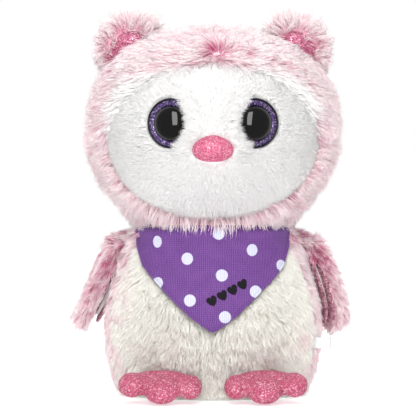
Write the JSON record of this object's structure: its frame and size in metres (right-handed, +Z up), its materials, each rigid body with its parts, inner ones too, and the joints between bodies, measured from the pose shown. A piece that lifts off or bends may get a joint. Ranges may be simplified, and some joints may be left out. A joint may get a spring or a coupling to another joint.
{
  "type": "interactive plush owl",
  "caption": "Seated plush owl with a stuffed turning head, wings flapped by an internal geared motor unit, a neckerchief, glitter feet and a battery base.",
  "frame": {"origin": "under the middle of the bounding box, on the surface that the owl stands on", "axes": "+Z up; the owl faces -Y, and its own left is +X"},
  "size_m": [0.1244, 0.116, 0.179],
  "materials": {
    "pink_fur": "long pile plush, frosted white with deep pink roots",
    "white_fur": "short dense pile plush",
    "cream_fur": "long pile plush",
    "glitter_cloth": "metallic glitter knit",
    "bandana_cloth": "plain woven cotton with printed dots",
    "stuffing": "polyester fibre",
    "black_gloss": "polished",
    "purple_glitter": "glitter under clear lacquer",
    "white_abs": "moulded",
    "grey_abs": "moulded, fine texture",
    "acetal": "moulded, smooth",
    "steel": "zinc plated",
    "board": "solder mask",
    "cell": "printed sleeve",
    "satin": "satin ribbon"
  },
  "bodies": {
    "torso": {"belly_panel": "cream_fur", "back_skin": "pink_fur", "body_stuffing": "stuffing", "sewn_label": "satin", "bandana": "bandana_cloth", "left_foot": "glitter_cloth", "right_foot": "glitter_cloth", "pod_front": "white_abs", "pod_rear": "white_abs", "left_wing_pin": "steel", "right_wing_pin": "steel", "left_case_screw": "steel", "right_case_screw": "steel", "base_plate": "grey_abs", "battery_1": "cell", "battery_2": "cell", "battery_3": "cell", "left_contact_strip": "steel", "right_contact_strip": "steel", "motor": "steel", "speaker_frame": "steel", "speaker_cone": "cell", "circuit_board": "board", "microphone": "steel", "neck_bush": "acetal"},
    "head": {"head_skin": "pink_fur", "face_panel": "white_fur", "head_stuffing": "stuffing", "neck_post": "white_abs", "neck_washer": "steel", "neck_screw": "steel", "left_eye_rim": "black_gloss", "right_eye_rim": "black_gloss", "left_iris": "purple_glitter", "right_iris": "purple_glitter", "left_pupil": "black_gloss", "right_pupil": "black_gloss", "left_eye_washer": "white_abs", "right_eye_washer": "white_abs", "nose": "glitter_cloth", "left_ear": "pink_fur", "right_ear": "pink_fur", "left_ear_lining": "glitter_cloth", "right_ear_lining": "glitter_cloth"},
    "left_wing": {"left_wing_lever": "acetal", "left_wing_paddle": "white_abs", "left_wing_fur": "pink_fur", "left_wing_lining": "glitter_cloth"},
    "right_wing": {"right_wing_lever": "acetal", "right_wing_paddle": "white_abs", "right_wing_fur": "pink_fur", "right_wing_lining": "glitter_cloth"},
    "left_link": {"left_link_gear": "acetal"},
    "right_link": {"right_link_gear": "acetal"},
    "reduction": {"reduction_gear": "acetal"},
    "pinion": {"motor_pinion": "acetal"},
    "button": {"belly_button": "white_abs"},
    "switch": {"power_switch": "black_gloss"},
    "door": {"battery_door": "grey_abs", "door_screw": "steel"}
  },
  "joints": [
    {"name": "head_turn", "type": "hinge", "parent": "torso", "child": "head", "pos_m": [0, 0.01001, 0.09], "axis": [0, 0, 1], "range_deg": [-30, 30]},
    {"name": "left_wing_flap", "type": "hinge", "parent": "torso", "child": "left_wing", "pos_m": [0.0235, 0.01001, 0.0675], "axis": [0, -1, 0], "range_deg": [0, 22]},
    {"name": "right_wing_flap", "type": "hinge", "parent": "torso", "child": "right_wing", "pos_m": [-0.0235, 0.01001, 0.0675], "axis": [0, 1, 0], "range_deg": [-0.2, 22.2]},
    {"name": "left_link_spin", "type": "hinge", "parent": "torso", "child": "left_link", "pos_m": [0.01, 0.01001, 0.05413], "axis": [0, 1, 0], "range_deg": [-0.2, 20]},
    {"name": "right_link_spin", "type": "hinge", "parent": "torso", "child": "right_link", "pos_m": [-0.01, 0.01001, 0.05413], "axis": [0, -1, 0], "range_deg": [-0.2, 20]},
    {"name": "reduction_spin", "type": "hinge", "parent": "torso", "child": "reduction", "pos_m": [-0.01, 0.01001, 0.03913], "axis": [0, 1, 0], "range_deg": [-0.5, 40.1]},
    {"name": "motor_spin", "type": "hinge", "parent": "torso", "child": "pinion", "pos_m": [0.00871, 0.01001, 0.03583], "axis": [0, -1, 0], "range_deg": [-1, 149.5]},
    {"name": "belly_button_press", "type": "slide", "parent": "torso", "child": "button", "axis": [0, 1, 0], "range_m": [0, 0.0015], "stiffness_N_per_m": 600, "springref_m": -0.0008},
    {"name": "power_switch_slide", "type": "slide", "parent": "torso", "child": "switch", "axis": [0, 1, 0], "range_m": [0, 0.004]},
    {"name": "battery_door_open", "type": "hinge", "parent": "torso", "child": "door", "pos_m": [0, 0.02561, 0.00135], "axis": [1, 0, 0], "range_deg": [0, 85]}
  ],
  "couplings": [
    {"joint": "right_wing_flap", "follows": "left_wing_flap", "ratio": 1},
    {"joint": "left_link_spin", "follows": "left_wing_flap", "ratio": 0.9},
    {"joint": "right_link_spin", "follows": "left_wing_flap", "ratio": 0.9},
    {"joint": "reduction_spin", "follows": "left_wing_flap", "ratio": 1.8},
    {"joint": "motor_spin", "follows": "left_wing_flap", "ratio": 6.75}
  ]
}
